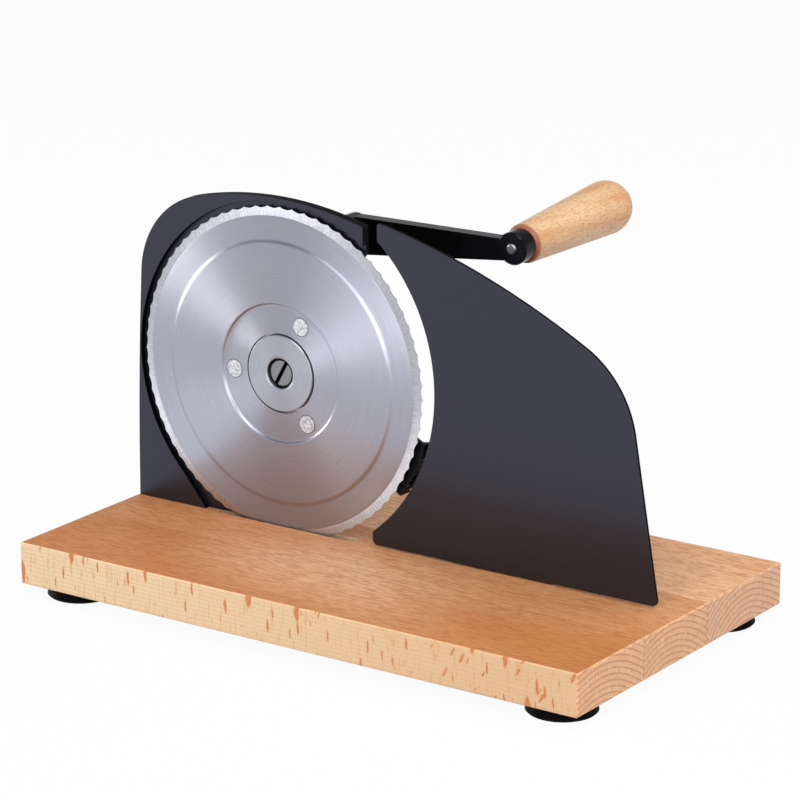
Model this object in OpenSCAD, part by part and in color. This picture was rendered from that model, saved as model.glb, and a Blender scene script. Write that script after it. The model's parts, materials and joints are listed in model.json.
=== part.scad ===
/* [Board] */
// Length of the wooden board
board_l = 365; // [350:1:400]
// Depth of the board, from front to back
board_w = 210; // [190:1:240]
// Thickness of the board
board_t = 24.2; // [18:0.1:30]
// Chamfer that eases the board's edges
board_edge = 0.8; // [0.4:0.1:2]

/* [Feet] */
// Diameter of a rubber foot
foot_d = 38.5; // [30:0.5:42]
// Height of a rubber foot
foot_h = 7.8; // [7:0.1:14]
// Distance from the board's edges to the middle of a foot
foot_inset = 24; // [20:0.1:30]
// Depth of the hollow under a foot
foot_hollow = 1.2; // [0.6:0.1:2]
// Width of the foot's ring that meets the table
foot_ring = 6; // [4:0.5:8]

/* [Blade] */
// Radius of the blade at the tips of its scallops
blade_r = 95; // [88:0.5:102]
// Thickness of the blade's sheet
blade_t = 1.5; // [1:0.1:2]
// Distance from the board's left end to the blade's axis
blade_inset = 102.5; // [101.5:0.5:108]
// Distance of the cutting plane behind the board's middle
cut_offset = 1; // [-5:0.5:8]
// How far the blade dips into the slot in the board
blade_dip = 6; // [3:0.5:8]
// Number of scallops along the edge
scallops = 72; // [60:1:90]
// Depth of a scallop
scallop_depth = 1; // [0.5:0.1:1.4]
// Width of the ground band along the edge
bevel_w = 5.5; // [4:0.1:7]
// Drop of the ground band at the edge
bevel_drop = 0.9; // [0.5:0.1:1.2]
// Outer radius of the pressed, raised part of the blade
raised_r = 76; // [70:0.5:80]
// Height of the raised part
raised_h = 0.8; // [0.4:0.1:1.2]
// Radius of the flat middle that is set back
middle_r = 40.5; // [38:0.5:46]
// Depth of the flat middle behind the cutting plane
middle_d = 0.4; // [0.2:0.1:0.8]
// Run of each pressed step
step_run = 1.5; // [1:0.1:2.5]
// Radius of a rivet
rivet_r = 5; // [3.5:0.1:5.5]
// Radius of the circle of rivets
rivet_circle = 32; // [30:0.5:33]
// Number of rivets
rivets = 3; // [3:1:6]

/* [Axle] */
// Radius of the fixed axle
axle_r = 6; // [5:0.5:7]
// Radius of the retaining disc
disc_r = 22; // [19:0.5:24]
// Thickness of the retaining disc
disc_t = 4.8; // [4.3:0.1:6]
// How far the disc stands out in front of the blade's flat middle
disc_proud = 0.8; // [0.2:0.1:1.1]
// Ring gap between the disc and the blade
disc_gap = 1; // [0.6:0.1:1.5]
// Radius of the slotted screw's head
axle_screw_r = 7.5; // [6.5:0.1:8.5]
// Radius of the mouth of the recess around that head
recess_r = 10; // [9.5:0.1:12]
// Wall of the brass bush that the blade turns on
bush_wall = 3; // [2:0.5:4]

/* [Gears] */
// Teeth on the blade's gear
gear_teeth = 48; // [44:1:50]
// Teeth on the crank's pinion
pinion_teeth = 20; // [18:1:21]
// Module of both gears
tooth_module = 2; // [1.9:0.05:2.1]
// Width of the blade's gear
gear_w = 8; // [7:0.5:10]
// Width of the pinion
pinion_w = 6; // [5:0.5:7]
// Play that is taken off each tooth's width
tooth_play = 0.25; // [0.15:0.01:0.4]
// Length of the hubs behind the gears
gear_hub_l = 3.8; // [3:0.1:6]

/* [Frame] */
// Thickness of the frame plate
frame_t = 6; // [5:0.5:7]
// Gap between the blade's edge and the frame's round cutout
cut_gap = 3.3; // [2:0.1:5]
// Depth of the rebate that the blade's edge runs in
rebate_d = 3.5; // [3:0.1:4]
// Width of the floor of that rebate
floor_w = 6.8; // [4:0.1:8]
// Width of the frame beside the cutout, at the board
band_side = 2.9; // [2.6:0.1:8]
// Width of the frame above the cutout, at its crown
band_top = 2.3; // [2:0.1:8]
// Place of the hook's end, to the right of the blade's axis
hook_x = 56; // [50:0.5:62]
// Radius of the frame's upper left corner
shoulder_r = 52.5; // [50:0.5:60]
// Radius of the frame's crown
crown_r = 224; // [200:1:260]
// Radius of the faint curve of the left edge
side_r = 2250; // [2000:10:2500]
// Thickness of the flanges on the board
flange_t = 6; // [5:0.5:8]
// Depth of the frame's flange behind the plate
flange_w = 30; // [26:1:36]

/* [Gear case] */
// Thickness of the case's plate and of its rim
case_t = 4; // [3:0.5:5]
// Running gap beside the gears
case_gap = 1.5; // [1:0.1:2]
// Radius of the axle's boss
axle_boss_r = 14; // [12:0.5:16]
// Length of the axle's boss
axle_boss_l = 20; // [16:1:24]
// Radius of the crank's bearing boss
crank_boss_r = 12; // [11:0.5:13]
// Distance of the posts outside the frame's cutout
post_out = 9.5; // [9:0.1:10]
// Radius of a post
post_r = 6; // [5:0.1:6.5]
// Depth of the pedestal's foot behind the case
pedestal_w = 26; // [22:1:28]

/* [Crank] */
// Direction from the blade's axis to the crank's axis
crank_lean = 85.8; // [80:0.1:90]
// Radius of the crank shaft
crank_shaft_r = 5; // [4.5:0.1:5.5]
// Distance from the crank's axis to the handle
crank_r = 110; // [95:1:115]
// Angle of the crank at rest
crank_tilt = 4.2; // [0:0.1:12]
// Depth of the arm's front face behind the cutting plane
arm_front = 59.5; // [52:0.5:66]
// Thickness of the arm
arm_t = 8; // [7:0.5:12]
// Half height of the arm beside its hub
arm_root = 11.1; // [8:0.1:11.3]
// Height of the arm above the crank's line, at the handle
arm_end_high = 4.5; // [3:0.1:6]
// Height of the arm below the crank's line, at the handle
arm_end_low = 7.1; // [5:0.1:8]
// Radius of the arm's hub
arm_hub_r = 11.6; // [11:0.1:13]
// Length of the hub in front of the arm
arm_hub_l = 7.5; // [6:0.5:10]
// Radius of the boss that holds the handle's spindle
handle_boss_r = 9.3; // [8.5:0.1:10]
// How far that boss stands out on each side of the arm
handle_boss_out = 1.3; // [1:0.1:4]

/* [Handle] */
// Length of the wooden handle
handle_l = 100.2; // [85:0.1:110]
// Radius of the handle beside the arm
handle_near_r = 11.2; // [10:0.1:13]
// Largest radius of the handle
handle_far_r = 15.5; // [13.5:0.1:17]
// Length of the handle's round end
handle_dome = 14; // [12:0.5:18]
// Upward lean of the handle behind the arm
handle_lean = 2.2; // [0:0.1:4]
// Radius of the steel spindle
spindle_r = 3; // [2.5:0.1:3.5]
// Depth of the pocket for the spindle's screw
handle_pocket = 12; // [10:0.5:16]

/* [Fence] */
// Thickness of the fence plate
fence_t = 2; // [1.5:0.1:3]
// Gap between the fence and the board
fence_lift = 0.9; // [0.5:0.1:2]
// Clearance of the fence's round edge outside the blade's radius
fence_clear = 12.3; // [10:0.1:16]
// Height of the straight edge at the fence's tip
fence_tip_h = 10.5; // [6:0.1:13]
// Place of the fence's right corner, from the blade's axis
fence_l = 245.8; // [230:0.1:255]
// Lean of the fence's right edge from upright
fence_lean = 9.9; // [5:0.1:11]
// Height of the knee where the right edge starts to curve
knee_h = 89.5; // [80:0.5:100]
// Run of the rounded shoulder, to the left of the knee
brow_run = 29.3; // [26:0.1:34]
// Rise of the rounded shoulder above the knee
brow_rise = 43.9; // [38:0.1:48]
// Radius of the rounded shoulder
brow_r = 62; // [55:0.5:80]
// Radius of the long top edge
fence_top_r = 490; // [400:5:600]
// Radius of the fence's small corners
fence_corner = 3; // [2:0.1:4]
// Travel of the fence, which is the thickest slice
fence_travel = 18; // [12:0.5:20]

/* [Slice rest] */
// Distance of the slice rest's outer side beyond the blade's edge
rest_out = 2; // [-1:0.5:4]
// Width of the slice rest
rest_w = 11; // [8:0.5:14]
// Depth of the slice rest's front behind the fence's face
rest_front = 6; // [5:0.5:8]
// Depth of the slice rest, from its front to its back
rest_l = 7; // [6:0.5:10]
// Thickness of its front plate, which stands above its ribs
rest_plate = 2; // [1.5:0.1:2.5]
// Direction of the slice rest's upper end
rest_high = -15.5; // [-18:0.1:-12]
// Slope of the slice rest's upper end
rest_slope = -28; // [-40:1:-16]
// Direction of the slice rest's lower end
rest_low = -37.5; // [-39:0.1:-34]
// Number of grip ribs on the slice rest
rest_ribs = 9; // [6:1:11]
// Radius of a grip rib
rib_r = 0.7; // [0.4:0.1:0.9]

/* [Slide] */
// Distance of the slide's middle from the blade's axis
slide_reach = 145.5; // [140:0.5:150]
// Width of the slide's block
slide_w = 68; // [66:1:76]
// Length of the slide's block
slide_l = 46; // [42:1:52]
// Height of the slide's block
slide_h = 34; // [33:0.5:40]
// Distance between the two guide rods
rod_gap = 48; // [46:0.5:50]
// Height of the guide rods above the board
rod_h = 15; // [13:0.5:16]
// Radius of a guide rod
rod_r = 4; // [3.5:0.1:4.5]
// Thickness of the fence's carriage plate
carriage_t = 6; // [5:0.5:8]
// Height of the carriage plate
carriage_h = 56; // [52:1:64]
// Module of the rack
rack_module = 1; // [0.9:0.05:1.1]
// Teeth on the knob's pinion
knob_teeth = 12; // [12:1:13]
// Height of the rack
rack_h = 8; // [6:0.5:8.5]
// Radius of the knob's shaft
knob_shaft_r = 3; // [2.5:0.1:3.2]
// Radius of the thickness knob
knob_r = 14; // [11:0.5:17]
// Height of the thickness knob
knob_h = 16; // [12:0.5:20]
// Number of grip flutes around the knob
knob_flutes = 20; // [12:1:24]
// Thickness of the slide's cover
cover_t = 3; // [2:0.5:4]

/* [Fasteners] */
// Radius of the screws that hold the castings
screw_r = 2.5; // [2:0.1:3]
// Radius of the heads of those screws
screw_head_r = 5; // [4:0.1:5.2]
// Height of the heads of those screws
screw_head_h = 3.5; // [3:0.1:4]
// Radius of the cover's small screws
small_screw_r = 1.5; // [1.2:0.1:1.8]

/* [Clearances] */
// Gap all round between pieces that are fixed together
fit_gap = 0.03; // [0.02:0.01:0.05]
// Gap all round between a shaft and its bush
run_gap = 0.05; // [0.03:0.01:0.08]
// Gap beside a piece that turns
side_gap = 0.3; // [0.25:0.05:0.5]

/* [Hidden] */
$fn = 96;

wood = [0.86, 0.67, 0.45];
black = [0.13, 0.13, 0.15];
gloss_black = [0.04, 0.04, 0.05];
rubber = [0.06, 0.06, 0.06];
steel = [0.72, 0.73, 0.76];
brass = [0.78, 0.62, 0.3];

blade_x = blade_inset - board_l / 2;
slide_x = blade_x + slide_reach;

// Depths are counted from the cutting plane to the back
gear_front = middle_d + blade_t;
gear_back = gear_front + gear_w;
disc_front = middle_d - disc_proud;
disc_back = disc_front + disc_t;
gear_hub_back = gear_back + gear_hub_l;
case_front = gear_hub_back + side_gap;
case_back = case_front + case_t;
pinion_front = gear_front + (gear_w - pinion_w) / 2;
pinion_back = pinion_front + pinion_w;
rim_front = frame_t + side_gap;
axle_boss_back = case_front + axle_boss_l;
arm_back = arm_front + arm_t;
arm_hub_front = arm_front - arm_hub_l;
crank_boss_back = arm_hub_front - side_gap;
handle_boss_front = arm_front - handle_boss_out;
handle_boss_back = arm_back + handle_boss_out;
handle_front = handle_boss_back + side_gap;
handle_back = handle_front + handle_l;
spindle_back = handle_back - handle_pocket;
arm_middle = (arm_front + arm_back) / 2;
pocket_r = spindle_r + 4;
pocket_rim_r = pocket_r + 1.5;
handle_end = handle_back - arm_middle;
handle_reach = arm_middle + handle_end * cos(handle_lean) + pocket_rim_r * sin(handle_lean);
near_edge = 2.2;
boss_edge = 0.8;
arm_washer_t = 1.5;
handle_washer_t = 1.2;
arm_thread_l = 16;
spindle_thread_l = 12;

// The origin lies under the middle of the whole slicer, on the table
board_y = -(cut_offset + handle_reach - board_w / 2) / 2;
cut_y = board_y + cut_offset;
top_z = foot_h + board_t;
axis_h = blade_r - blade_dip;
axis_z = top_z + axis_h;

gear_r = gear_teeth * tooth_module / 2;
pinion_r = pinion_teeth * tooth_module / 2;
gear_tip_r = gear_r + tooth_module;
pinion_tip_r = pinion_r + tooth_module;
crank_at = (gear_r + pinion_r) * [cos(crank_lean), sin(crank_lean)];
bush_r = axle_r + run_gap + bush_wall;
gear_hub_r = bush_r + 7;
pinion_hub_r = crank_shaft_r + 4;
disc_hole_r = disc_r + disc_gap;
thread_r = screw_r + fit_gap;
axle_thread_r = axle_r / 2;
axle_stud_r = axle_r - 2;
axle_nut_h = 6;
axle_thread_l = 14;
recess_d = 3.3;
axle_head_h = 1.9;
axle_slot_turn = 61;
disc_edge = 0.4;
axle_slot_half = 1.1;
rivet_turn = 64;
rivet_proud = 0.2;

frame_cut_r = blade_r + cut_gap;
floor_r = frame_cut_r - floor_w;
floor_right = -floor_r * 0.36;
leg_angle = 225;
shoulder_low_h = 47;
shoulder_low_in = 1.2;
shoulder_high_x = -57.4;
shoulder_drop = 7;
hook_drop = 9;
case_r = gear_tip_r + case_gap + case_t;
case_lobe_r = pinion_tip_r + case_gap + case_t / 2;
case_neck = 12;
arm_neck = 28;
post_angles = [136, 218.5];
posts = [for (a = post_angles) (frame_cut_r + post_out) * [cos(a), sin(a)]];
crank_bush_r = crank_shaft_r + run_gap + 3;
crank_bush_l = 12;
pedestal_left = -34;
pedestal_right = 14;
rib_t = 5;
post_thread_in = 3;
flange_right = -frame_cut_r * 0.545;
flange_left = -frame_cut_r - band_side + 2;
frame_screw_spots = [
    [flange_left + 10, frame_t + flange_w / 2],
    [flange_right - 10, frame_t + flange_w / 2],
    [pedestal_left + 9, case_back + pedestal_w / 2],
    [pedestal_right - 9, case_back + pedestal_w / 2]
];
head_pocket = 6;
head_gap = 0.5;
drive_half = 0.6;
drive_deep = 1.2;
slide_screw_side = 22;
slide_screw_x = slide_w / 2 - slide_screw_side;
slide_screw_in = 9;
slide_thread_l = 12;
cover_screw_in = 5;
cover_thread_l = 8;
cover_head_h = 1.8;
fine_drive_half = 0.4;
slot_front = 1.1;
slot_w = 6.5;
slot_half = sqrt(blade_r * blade_r - axis_h * axis_h) + 17;
slot_depth = blade_dip + 6;

carriage_back = fence_t + carriage_t;
rod_boss_l = 4;
rod_boss_r = rod_r + 4;
slide_front = carriage_back + rod_boss_l + fence_travel + 1;
slide_back = slide_front + slide_l;
rod_back = slide_back + 8;
rod_bush_r = rod_r + run_gap + 2;
rod_bush_l = 12;
knob_pitch_r = knob_teeth * rack_module / 2;
pitch_line = -2;
knob_x = pitch_line + knob_pitch_r;
knob_y = (slide_front + slide_back) / 2;
rack_z = rod_h + rod_bush_r + 1;
rack_back = knob_y + 8;
rack_stem = 8;
rack_root = pitch_line - 1.25 * rack_module;
cover_z = slide_h;
knob_z = cover_z + cover_t + side_gap;
knob_shaft_low = 8;
knob_shaft_top = knob_z + knob_h - 4;
knob_dish = 2.5;
knob_dish_r = small_screw_r * 3;
knob_head_r = small_screw_r * 2.6;
knob_thread_l = 10;
flute_r = 1.2;
flute_out = 0.4;
flute_low = 3;
flute_high = 5;
nut_h = 4;
nut_r = 4.5;
stud_r = 2.5;
carriage_studs = [[-26, 47], [26, 47], [6, 10]];
rest_back = rest_front + rest_l;
rest_web = 3;
rest_step = 2.5;
rest_r = blade_r + rest_out;
rest_studs = [[blade_r + 9.5, -29], [blade_r + 5, -53]];
rest_boss_r = 5;
foot_x = board_l / 2 - foot_inset;
foot_y = board_w / 2 - foot_inset;
foot_spots = [for (x = [-foot_x, foot_x], y = [-foot_y, foot_y]) [x, y]];
foot_recess = 5;
foot_hole_cover = 6;

// Fence corners, from the blade's axis
fence_edge_r = blade_r + fence_clear;
fence_edge_mid = [-4.1, 3.6];
fence_low_way = -51.7;
fence_high_way = 49.5;
fence_low = fence_edge_mid + fence_edge_r * [cos(fence_low_way), sin(fence_low_way)];
fence_high = fence_edge_mid + fence_edge_r * [cos(fence_high_way), sin(fence_high_way)];
fence_z = fence_lift - axis_h;
fence_tip = fence_high + [0, fence_tip_h];
fence_knee = [fence_l - knee_h * tan(fence_lean), fence_z + knee_h];
fence_brow = fence_knee + [-brow_run, brow_rise];

// Points of an arc of radius r from p to q that bulges to the left of the run, or with side -1 to the right
function arc(p, q, r, side = 1, n = 24) = let(
    along = (q - p) / norm(q - p),
    out = side * [-along[1], along[0]],
    half = norm(q - p) / 2,
    centre = (p + q) / 2 - out * sqrt(r * r - half * half),
    sweep = asin(half / r),
    middle = atan2(out[1], out[0]))
    [for (i = [0 : n]) let(t = middle + side * sweep * (1 - 2 * i / n)) centre + r * [cos(t), sin(t)]];

// Points of the arc that rounds the corner c between p and q
function fillet(p, c, q, r) = let(
    u = (p - c) / norm(p - c),
    v = (q - c) / norm(q - c),
    cut = r / tan(acos(u * v) / 2))
    arc(c + u * cut, c + v * cut, r, 1, 6);

// Rolled angle of an involute at pressure angle a
function involute(a) = tan(a) * 180 / PI - a;

// Half the angle that a gear tooth covers at radius r
function half_tooth(teeth, m, r) = let(
    pitch = teeth * m / 2,
    base = pitch * cos(20),
    slope = acos(min(1, base / r)))
    90 / teeth - tooth_play / 2 / pitch * 180 / PI + involute(20) - involute(slope);

// Outline of a gear with involute teeth, one of them centred on the first axis
function gear_outline(teeth, m) = let(
    pitch = teeth * m / 2,
    root = pitch - 1.25 * m,
    start = max(root + 0.1 * m, pitch * cos(20)),
    tip = pitch + m,
    steps = 3,
    flank = [for (i = [0 : steps]) start + (tip - start) * i / steps],
    radii = concat([root], flank),
    last = len(radii) - 1)
    [for (k = [0 : teeth - 1], side = [-1, 1], i = [0 : last])
        let(r = radii[side < 0 ? i : last - i],
            a = k * 360 / teeth + side * half_tooth(teeth, m, max(r, start)))
        r * [cos(a), sin(a)]];

// Outline of the scalloped edge of the blade
function blade_edge() = [for (i = [0 : scallops * 6 - 1])
    let(a = i * 60 / scallops)
    (blade_r - scallop_depth * abs(sin(a * scallops / 2))) * [cos(a), sin(a)]];

// Round bar along the depth, from depth d0 to depth d1
module rod(r, d0, d1) {
    translate([0, d0, 0]) rotate([-90, 0, 0]) cylinder(r = r, h = d1 - d0);
}

// Round bar upwards, from height z0 to height z1
module post(r, z0, z1) {
    translate([0, 0, z0]) cylinder(r = r, h = z1 - z0);
}

// Front view drawing, thickened from depth d0 to depth d1
module slab(d0, d1) {
    translate([0, d1, 0]) rotate([90, 0, 0]) linear_extrude(height = d1 - d0) children();
}

// Side view drawing of depth and height, thickened from x0 to x1
module side_slab(x0, x1) {
    translate([x0, 0, 0]) rotate([90, 0, 90]) linear_extrude(height = x1 - x0) children();
}

// Turned piece about the depth axis, drawn as radius and depth
module turned() {
    rotate([-90, 0, 0]) rotate_extrude() children();
}

// Box given by its two ends on each axis
module span(x0, x1, y0, y1, z0, z1) {
    translate([x0, y0, z0]) cube([x1 - x0, y1 - y0, z1 - z0]);
}

// Flat link around a circle of radius r1 at p and a circle of radius r2 at q
module link(p, q, r1, r2) {
    run = q - p;
    lead = atan2(run[1], run[0]);
    open = acos((r1 - r2) / norm(run));
    low = [cos(lead - open), sin(lead - open)];
    high = [cos(lead + open), sin(lead + open)];
    translate(p) circle(r = r1);
    translate(q) circle(r = r2);
    polygon([p + r1 * low, q + r2 * low, q + r2 * high, p + r1 * high]);
}

// Rectangle with its corners cut by c
module eased_square(w, h, c) {
    x = w / 2;
    y = h / 2;
    polygon([
        [c - x, -y], [x - c, -y], [x, c - y], [x, y - c],
        [x - c, y], [c - x, y], [-x, y - c], [-x, c - y]
    ]);
}

// Middle of the blade, on the cutting plane
module at_axis() {
    translate([blade_x, cut_y, axis_z]) children();
}

// Middle of the crank shaft, on the cutting plane
module at_crank() {
    at_axis() translate([crank_at[0], 0, crank_at[1]]) children();
}

// Crank at rest: the first axis runs along the arm
module along_arm() {
    at_crank() rotate([0, -crank_tilt, 0]) children();
}

// Axis of the handle's spindle, which leans about the middle of the arm; depths are counted as elsewhere
module at_handle() {
    along_arm() translate([crank_r, arm_middle, 0]) rotate([handle_lean, 0, 0])
        translate([0, -arm_middle, 0]) children();
}

// Middle of the fence's slide, on the board and the cutting plane
module at_slide() {
    translate([slide_x, cut_y, top_z]) children();
}

// Middle of the thickness knob, on the board
module at_knob() {
    at_slide() translate([knob_x, knob_y, 0]) children();
}

// Places of the screws that come up through the board into the two castings
module at_flange_screws() {
    for (s = frame_screw_spots) translate([blade_x + s[0], cut_y + s[1], foot_h]) children();
}

// Places of the screws that come up through the board into the slide
module at_slide_screws() {
    ends = [slide_front + slide_screw_in, slide_back - slide_screw_in];
    for (x = [-slide_screw_x, slide_screw_x], y = ends)
        translate([slide_x + x, cut_y + y, foot_h]) children();
}

// Places of the rubber feet
module at_feet() {
    for (s = foot_spots) translate([s[0], board_y + s[1], 0]) children();
}

// Places of the rivets around the blade's axis
module at_rivets() {
    for (i = [0 : rivets - 1]) rotate([0, -rivet_turn - i * 360 / rivets, 0])
        translate([rivet_circle, 0, 0]) children();
}

// Screw that points up, with its head's underside at height zero
module upright_screw(r, head_r, head_h, l) {
    post(r, 0, l);
    difference() {
        post(head_r, -head_h, 0);
        span(-head_r, head_r, -drive_half, drive_half, -head_h - 1, -head_h + drive_deep);
    }
}

// Hexagon nut along the depth, from depth d0 to depth d1
module hex_nut(r, bore, d0, d1) {
    difference() {
        translate([0, d0, 0]) rotate([-90, 0, 0]) cylinder(r = r, h = d1 - d0, $fn = 6);
        rod(bore, d0 - 1, d1 + 1);
    }
}

module board() {
    color(wood) difference() {
        translate([0, board_y, foot_h + board_t / 2]) intersection() {
            translate([0, 0, -board_t / 2]) linear_extrude(height = board_t)
                eased_square(board_l, board_w, board_edge);
            translate([0, board_w / 2, 0]) rotate([90, 0, 0]) linear_extrude(height = board_w)
                eased_square(board_l, board_t, board_edge);
            translate([-board_l / 2, 0, 0]) rotate([90, 0, 90]) linear_extrude(height = board_l)
                eased_square(board_w, board_t, board_edge);
        }
        translate([blade_x, cut_y - slot_front + slot_w / 2, top_z - slot_depth]) {
            linear_extrude(height = slot_depth + 1)
                link([slot_w / 2 - slot_half, 0], [slot_half - slot_w / 2, 0], slot_w / 2, slot_w / 2);
        }
        at_flange_screws() board_screw_hole();
        at_slide_screws() board_screw_hole();
        at_feet() post(thread_r, foot_h - 1, foot_h + board_t - foot_hole_cover);
    }
}

// Through hole with a pocket for the screw's head on the underside
module board_screw_hole() {
    post(thread_r, -1, board_t + 1);
    post(screw_head_r + head_gap, -1, head_pocket);
}

module foot() {
    color(rubber) rotate_extrude() polygon([
        [thread_r, foot_recess],
        [screw_head_r + head_gap, foot_recess],
        [screw_head_r + head_gap, foot_hollow],
        [foot_d / 2 - foot_ring, foot_hollow],
        [foot_d / 2 - foot_ring + foot_hollow, 0],
        [foot_d / 2 - 1, 0],
        [foot_d / 2, 1],
        [foot_d / 2 - 1.5, foot_h - 1],
        [foot_d / 2 - 2.5, foot_h],
        [thread_r, foot_h]
    ]);
}

module foot_at(spot) {
    translate([foot_spots[spot][0], board_y + foot_spots[spot][1], 0]) foot();
}

module foot_screws() {
    color(steel) at_feet() translate([0, 0, foot_recess])
        upright_screw(screw_r, screw_head_r, screw_head_h, foot_h - foot_recess + board_t - 8);
}

// Outer edge of the frame plate, with its way back through the middle of the cutout
function frame_outline() = let(
    foot = [-frame_cut_r - band_side, -axis_h],
    crown_h = frame_cut_r + band_top,
    shoulder_low = [shoulder_low_in - frame_cut_r, shoulder_low_h],
    shoulder_high = [shoulder_high_x, crown_h - shoulder_drop],
    crown_end = [hook_x, crown_h - hook_drop],
    inner = sqrt(frame_cut_r * frame_cut_r - hook_x * hook_x) - 5,
    leg = frame_cut_r * [cos(leg_angle), sin(leg_angle)],
    leg_way = (leg - [flange_right, -axis_h]) / norm(leg - [flange_right, -axis_h]))
    concat(
        arc(foot, shoulder_low, side_r, 1, 12),
        arc(shoulder_low, shoulder_high, shoulder_r),
        arc(shoulder_high, crown_end, crown_r),
        [[hook_x, inner], [0, 0], leg + 8 * leg_way, [flange_right, -axis_h]]);

module frame_plate() {
    color(black) difference() {
        at_axis() {
            slab(0, frame_t) polygon(frame_outline());
            slab(rebate_d, frame_t) polygon([
                [0, 0],
                frame_cut_r * [cos(leg_angle - 10), sin(leg_angle - 10)],
                [flange_right - 6, -axis_h],
                [floor_right, -axis_h]
            ]);
            span(flange_left, flange_right, frame_t, frame_t + flange_w, -axis_h, flange_t - axis_h);
            side_slab(flange_left, flange_left + rib_t) polygon([
                [frame_t, flange_t - axis_h],
                [frame_t + flange_w, flange_t - axis_h],
                [frame_t, flange_w - axis_h]
            ]);
            for (p = posts) translate([p[0], 0, p[1]]) rod(post_r, frame_t, case_front);
        }
        at_axis() rod(frame_cut_r, -1, rebate_d);
        at_axis() rod(floor_r, -1, frame_t + 1);
        at_crank() rod(pinion_tip_r + 1, rebate_d - 1, frame_t + 1);
        at_axis() for (p = posts) translate([p[0], 0, p[1]])
            rod(thread_r, frame_t - post_thread_in, case_front + 1);
        at_flange_screws() post(thread_r, board_t - 1, board_t + flange_t - 1);
    }
}

// Front view of the room that the two gears need, grown by g
module gear_room(g) {
    circle(r = gear_tip_r + case_gap + g);
    translate(crank_at) circle(r = pinion_tip_r + case_gap + g);
}

module gear_case() {
    color(black) difference() {
        at_axis() {
            slab(case_front, case_back) {
                circle(r = case_r);
                link([0, 0], crank_at, case_r - case_neck, case_lobe_r);
                for (p = posts) link([0, 0], p, case_r - arm_neck, post_r + 2);
                polygon([
                    [pedestal_left, -axis_h], [pedestal_right, -axis_h],
                    [pedestal_right, -case_r / 2], [pedestal_left, -case_r / 2]
                ]);
            }
            slab(rim_front, case_front) difference() {
                gear_room(case_t / 2);
                gear_room(0);
            }
            rod(axle_boss_r, case_front, axle_boss_back);
            span(pedestal_left, pedestal_right, case_back, case_back + pedestal_w,
                -axis_h, flange_t - axis_h);
            for (x = [pedestal_left, pedestal_right - rib_t]) side_slab(x, x + rib_t) polygon([
                [case_back, flange_t - axis_h],
                [case_back + pedestal_w, flange_t - axis_h],
                [case_back, pedestal_w - axis_h]
            ]);
        }
        at_axis() rod(axle_r + fit_gap, case_front - 1, axle_boss_back + 1);
        at_axis() for (p = posts) translate([p[0], 0, p[1]]) rod(thread_r, case_front - 1, case_back + 1);
        at_crank() rod(crank_boss_r - 1, case_front - 1, case_back + 1);
        at_flange_screws() post(thread_r, board_t - 1, board_t + flange_t - 1);
    }
    color(black) at_crank() difference() {
        union() {
            rod(crank_boss_r, case_front, crank_boss_back);
            for (a = [20, 160, 270]) rotate([0, -a, 0]) side_rib();
        }
        rod(crank_bush_r + fit_gap, case_front - 1, crank_boss_back + 1);
    }
}

// Rib that stiffens the crank's bearing boss on the case
module side_rib() {
    slab_half = 2;
    reach = case_lobe_r - 3;
    translate([0, 0, -slab_half]) linear_extrude(height = 2 * slab_half) polygon([
        [crank_boss_r - 1, case_back],
        [reach, case_back],
        [crank_boss_r - 1, crank_boss_back - 6]
    ]);
}

module case_screws() {
    head_top = case_back + screw_head_h;
    color(steel) at_axis() for (p = posts) translate([p[0], 0, p[1]]) {
        rod(screw_r, frame_t - post_thread_in + 1, case_back + 1);
        difference() {
            rod(screw_head_r, case_back, head_top);
            span(-screw_head_r, screw_head_r, head_top - drive_deep, head_top + 1, -drive_half, drive_half);
        }
    }
}

module flange_screws() {
    color(steel) at_flange_screws() translate([0, 0, head_pocket])
        upright_screw(screw_r, screw_head_r, screw_head_h, board_t - head_pocket + flange_t - 2);
}

module axle() {
    color(steel) at_axis() difference() {
        union() {
            rod(axle_r, disc_back, axle_boss_back);
            rod(axle_stud_r, axle_boss_back, axle_boss_back + axle_nut_h + 2);
        }
        rod(axle_thread_r, disc_back - 1, disc_back + axle_thread_l);
    }
}

module axle_nut() {
    color(steel) at_axis()
        hex_nut(axle_r + 3, axle_stud_r + fit_gap, axle_boss_back, axle_boss_back + axle_nut_h);
}

module retaining_disc() {
    color(steel) at_axis() turned() polygon([
        [axle_thread_r, disc_back],
        [axle_thread_r, disc_front + recess_d],
        [axle_screw_r + 0.6, disc_front + recess_d],
        [axle_screw_r + 0.6, disc_front + 1],
        [axle_screw_r + 1.2, disc_front + 0.3],
        [recess_r, disc_front],
        [disc_r - disc_edge, disc_front],
        [disc_r, disc_front + disc_edge],
        [disc_r, disc_back]
    ]);
}

module axle_screw() {
    head_front = disc_front + recess_d - axle_head_h;
    color(steel) at_axis() {
        difference() {
            rod(axle_screw_r, head_front, head_front + axle_head_h);
            rotate([0, -axle_slot_turn, 0]) span(-axle_screw_r, axle_screw_r,
                head_front - 1, head_front + drive_deep, -axle_slot_half, axle_slot_half);
        }
        rod(axle_thread_r - fit_gap, head_front + axle_head_h, disc_back + axle_thread_l - 1);
    }
}

module blade() {
    front = -raised_h;
    color(steel) at_axis() difference() {
        intersection() {
            turned() polygon([
                [disc_hole_r, middle_d],
                [middle_r - step_run, middle_d],
                [middle_r, front],
                [raised_r - step_run, front],
                [raised_r, 0],
                [blade_r - bevel_w, 0],
                [blade_r + bevel_w / 5, bevel_drop * 1.2],
                [blade_r + bevel_w / 5, blade_t],
                [raised_r, blade_t],
                [raised_r - step_run, front + blade_t],
                [middle_r, front + blade_t],
                [middle_r - step_run, middle_d + blade_t],
                [disc_hole_r, middle_d + blade_t]
            ]);
            slab(front - 1, middle_d + blade_t + 1) polygon(blade_edge());
        }
        at_rivets() rod(rivet_r + fit_gap, front - 1, gear_front + 1);
    }
}

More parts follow.
